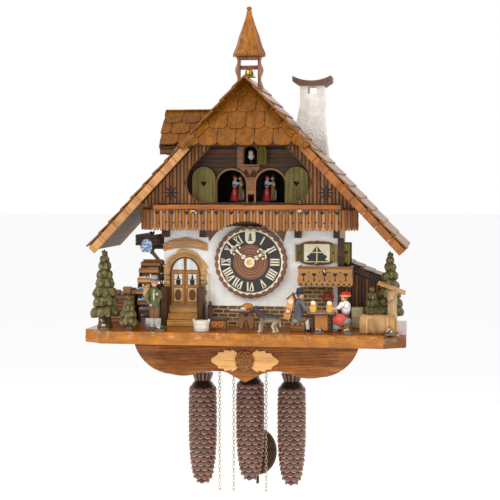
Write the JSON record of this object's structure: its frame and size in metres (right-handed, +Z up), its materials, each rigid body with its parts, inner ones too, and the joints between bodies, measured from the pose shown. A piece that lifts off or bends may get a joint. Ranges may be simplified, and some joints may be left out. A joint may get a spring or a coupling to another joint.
{
  "type": "chalet cuckoo clock",
  "caption": "Carved chalet cuckoo clock with dial, balcony, turning dancers, cuckoo door, water wheel, beer drinkers, pine-cone weights on chains and an oval pendulum.",
  "frame": {"origin": "centre of the hanging hole on the back face", "axes": "+X to the right seen from the front, +Y into the wall, +Z up"},
  "size_m": [0.5172, 0.226, 0.8023],
  "materials": {
    "deck_wood": "glossy stained and carved",
    "apron_wood": "glossy stained and carved",
    "whitewash": "matt whitewashed brick",
    "stained_wood": "satin dark stain",
    "plywood": "bare",
    "balcony_wood": "satin stain",
    "gable_wood": "satin stain",
    "siding_wood": "satin stain",
    "olive_paint": "matt paint",
    "bird_paint": "painted",
    "roof_wood": "satin stain",
    "barge_wood": "glossy stain",
    "shingle_wood": "glossy stain",
    "plaster": "rough plaster",
    "belfry_wood": "satin stain",
    "brass": "polished",
    "chain_brass": "plated",
    "dial_wood": "satin",
    "hand_cream": "carved and painted",
    "door_wood": "satin stain",
    "window_wood": "satin stain",
    "annex_wood": "satin stain",
    "fir_green": "painted carved wood",
    "figure_paint": "painted by hand",
    "yard_wood": "satin stain",
    "weight_iron": "copper-brown lacquer",
    "lid_wood": "bare"
  },
  "bodies": {
    "house": {"annex": "annex_wood", "back_board": "plywood", "balcony_railing": "balcony_wood", "barge_boards": "barge_wood", "base_apron": "apron_wood", "base_board": "deck_wood", "belfry_frame": "belfry_wood", "belfry_spire": "belfry_wood", "bell": "brass", "chimney": "plaster", "cuckoo_oriel": "siding_wood", "dial": "dial_wood", "dog": "figure_paint", "door_steps": "door_wood", "dormer": "shingle_wood", "entrance": "door_wood", "fir_trees": "fir_green", "fountain": "yard_wood", "front_wall": "whitewash", "gable_cladding": "gable_wood", "gable_inner_wall": "siding_wood", "heart_shutters": "olive_paint", "hiker": "figure_paint", "hip_roof": "shingle_wood", "mini_balcony": "balcony_wood", "movement_frame": "brass", "rear_cover": "plywood", "roof_boards": "roof_wood", "roof_shingles": "shingle_wood", "seated_man": "figure_paint", "seated_woman": "figure_paint", "side_walls": "stained_wood", "sound_works": "brass", "timber_frame": "stained_wood", "water_channel": "annex_wood", "window": "window_wood", "yard_items": "yard_wood"},
    "minute_hand": {"minute_hand": "hand_cream"},
    "hour_hand": {"hour_hand": "hand_cream"},
    "pendulum": {"pendulum": "brass"},
    "cuckoo_bird": {"cuckoo_bird": "bird_paint"},
    "cuckoo_door": {"cuckoo_door": "olive_paint"},
    "carousel": {"carousel": "figure_paint"},
    "water_wheel": {"water_wheel": "annex_wood"},
    "music_drum": {"music_drum": "brass"},
    "man_arm": {"man_arm": "figure_paint"},
    "woman_arm": {"woman_arm": "figure_paint"},
    "bellows_lid_left": {"bellows_lid_left": "lid_wood"},
    "bellows_lid_right": {"bellows_lid_right": "lid_wood"},
    "gong_hammer": {"gong_hammer": "brass"},
    "cover_latch": {"cover_latch": "brass"},
    "weight_left": {"weight_left": "weight_iron"},
    "chain_wheel_left": {"chain_wheel_left": "chain_brass"},
    "free_chain_left": {"free_chain_left": "chain_brass"},
    "weight_middle": {"weight_middle": "weight_iron"},
    "chain_wheel_middle": {"chain_wheel_middle": "chain_brass"},
    "free_chain_middle": {"free_chain_middle": "chain_brass"},
    "weight_right": {"weight_right": "weight_iron"},
    "chain_wheel_right": {"chain_wheel_right": "chain_brass"},
    "free_chain_right": {"free_chain_right": "chain_brass"}
  },
  "joints": [
    {"name": "minute_turn", "type": "hinge", "parent": "house", "child": "minute_hand", "pos_m": [0, -0.11, -0.185], "axis": [0, 1, 0], "continuous": true},
    {"name": "hour_turn", "type": "hinge", "parent": "house", "child": "hour_hand", "pos_m": [0, -0.11, -0.185], "axis": [0, 1, 0], "continuous": true},
    {"name": "pendulum_swing", "type": "hinge", "parent": "house", "child": "pendulum", "pos_m": [0, -0.036, -0.152], "axis": [0, 1, 0], "range_deg": [-5, 5]},
    {"name": "bird_slide", "type": "slide", "parent": "house", "child": "cuckoo_bird", "axis": [0, 1, 0], "range_m": [0, 0.03]},
    {"name": "door_turn", "type": "hinge", "parent": "house", "child": "cuckoo_door", "pos_m": [0.0125, -0.12, -0.011], "axis": [0, 0, 1], "range_deg": [-133, 0]},
    {"name": "carousel_turn", "type": "hinge", "parent": "house", "child": "carousel", "pos_m": [0, -0.061, -0.088], "axis": [0, 0, 1], "continuous": true},
    {"name": "water_wheel_turn", "type": "hinge", "parent": "house", "child": "water_wheel", "pos_m": [-0.171, -0.08, -0.234], "axis": [1, 0, 0], "continuous": true},
    {"name": "music_drum_turn", "type": "hinge", "parent": "house", "child": "music_drum", "pos_m": [0.094, -0.062, -0.1], "axis": [1, 0, 0], "continuous": true},
    {"name": "man_arm_lift", "type": "hinge", "parent": "house", "child": "man_arm", "pos_m": [0.087, -0.1876, -0.243], "axis": [0, -1, 0], "range_deg": [0, 35]},
    {"name": "woman_arm_lift", "type": "hinge", "parent": "house", "child": "woman_arm", "pos_m": [0.158, -0.1876, -0.243], "axis": [0, 1, 0], "range_deg": [0, 35]},
    {"name": "bellows_left_lift", "type": "hinge", "parent": "house", "child": "bellows_lid_left", "pos_m": [-0.121, -0.016, -0.172], "axis": [-1, 0, 0], "range_deg": [0, 12]},
    {"name": "bellows_right_lift", "type": "hinge", "parent": "house", "child": "bellows_lid_right", "pos_m": [0.121, -0.016, -0.172], "axis": [-1, 0, 0], "range_deg": [0, 12]},
    {"name": "gong_hammer_lift", "type": "hinge", "parent": "house", "child": "gong_hammer", "pos_m": [-0.0146, -0.016, -0.152], "axis": [0, 1, 0], "range_deg": [0, 15], "stiffness_Nm_per_rad": 0.004, "springref_deg": -2.86},
    {"name": "cover_latch_turn", "type": "hinge", "parent": "house", "child": "cover_latch", "pos_m": [0, -0.0024, -0.133], "axis": [0, 1, 0], "range_deg": [0, 90]},
    {"name": "weight_left_drop", "type": "slide", "parent": "house", "child": "weight_left", "axis": [0, 0, -1], "range_m": [0, 0.13]},
    {"name": "chain_wheel_left_turn", "type": "hinge", "parent": "house", "child": "chain_wheel_left", "pos_m": [-0.0735, -0.075, -0.228], "axis": [0, 1, 0], "continuous": true},
    {"name": "free_chain_left_rise", "type": "slide", "parent": "house", "child": "free_chain_left", "axis": [0, 0, 1], "range_m": [0, 0.13]},
    {"name": "weight_middle_drop", "type": "slide", "parent": "house", "child": "weight_middle", "axis": [0, 0, -1], "range_m": [0, 0.13]},
    {"name": "chain_wheel_middle_turn", "type": "hinge", "parent": "house", "child": "chain_wheel_middle", "pos_m": [-0.021, -0.075, -0.228], "axis": [0, 1, 0], "continuous": true},
    {"name": "free_chain_middle_rise", "type": "slide", "parent": "house", "child": "free_chain_middle", "axis": [0, 0, 1], "range_m": [0, 0.13]},
    {"name": "weight_right_drop", "type": "slide", "parent": "house", "child": "weight_right", "axis": [0, 0, -1], "range_m": [0, 0.13]},
    {"name": "chain_wheel_right_turn", "type": "hinge", "parent": "house", "child": "chain_wheel_right", "pos_m": [0.0415, -0.075, -0.228], "axis": [0, 1, 0], "continuous": true},
    {"name": "free_chain_right_rise", "type": "slide", "parent": "house", "child": "free_chain_right", "axis": [0, 0, 1], "range_m": [0, 0.13]}
  ],
  "couplings": [
    {"joint": "hour_turn", "follows": "minute_turn", "ratio": 0.083333},
    {"joint": "door_turn", "follows": "bird_slide", "rad_per_m": -77.375},
    {"joint": "water_wheel_turn", "follows": "carousel_turn", "ratio": 1},
    {"joint": "music_drum_turn", "follows": "carousel_turn", "ratio": 2},
    {"joint": "woman_arm_lift", "follows": "man_arm_lift", "ratio": 1},
    {"joint": "chain_wheel_left_turn", "follows": "weight_left_drop", "rad_per_m": -68.966},
    {"joint": "free_chain_left_rise", "follows": "weight_left_drop", "ratio": 1},
    {"joint": "chain_wheel_middle_turn", "follows": "weight_middle_drop", "rad_per_m": 71.429},
    {"joint": "free_chain_middle_rise", "follows": "weight_middle_drop", "ratio": 1},
    {"joint": "chain_wheel_right_turn", "follows": "weight_right_drop", "rad_per_m": 46.512},
    {"joint": "free_chain_right_rise", "follows": "weight_right_drop", "ratio": 1}
  ]
}
